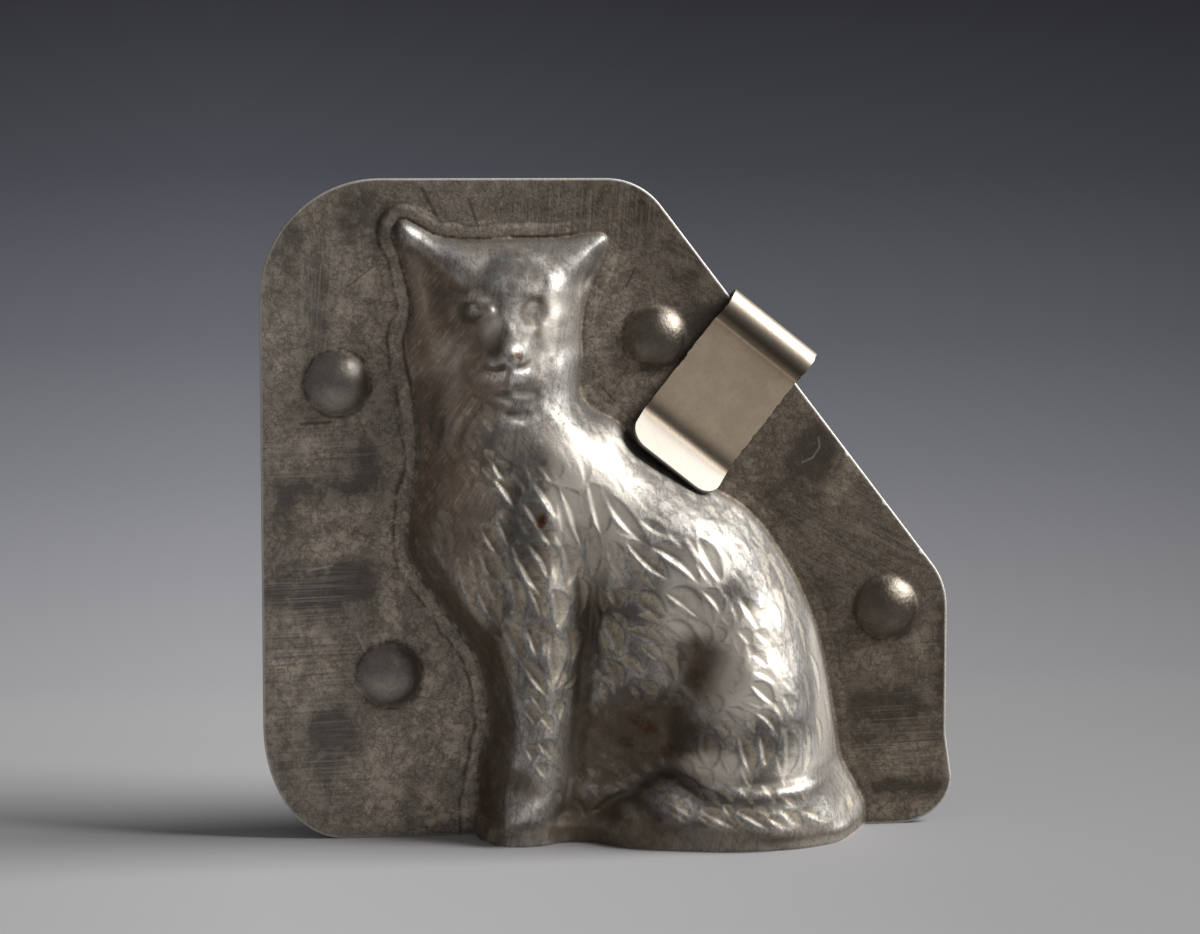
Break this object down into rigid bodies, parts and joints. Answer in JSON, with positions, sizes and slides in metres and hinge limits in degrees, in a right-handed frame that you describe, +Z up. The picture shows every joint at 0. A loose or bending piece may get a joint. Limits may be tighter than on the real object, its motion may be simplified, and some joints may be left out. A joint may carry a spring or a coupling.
{
  "type": "chocolate mould",
  "caption": "Upright two-part pressed-tin mould of a sitting cat, open at its base for filling, its flat flanges held together by a sliding spring clip.",
  "frame": {"origin": "on the surface the mould stands on, under the middle of its bounding box; the parting plane of the halves is y = 0", "axes": "+Z up, +X to the right as the cat's face is seen, -Y towards the viewer, square to the flanges"},
  "size_m": [0.1172, 0.0436, 0.11],
  "materials": {
    "tin_front": "worn tin plate with a dark patina, polished bright on the figure's raised right-hand side",
    "tin_back": "worn tin plate with a dark patina",
    "clip_steel": "warm grey sprung steel, satin, bright at the roll and the lip"
  },
  "bodies": {
    "mould": {"front_half": "tin_front", "back_half": "tin_back"},
    "clip": {"spring_clip": "clip_steel"}
  },
  "joints": [
    {"name": "clip_slide", "type": "slide", "parent": "mould", "child": "clip", "axis": [0.6194, 0, 0.7851], "range_m": [0, 0.042]}
  ]
}
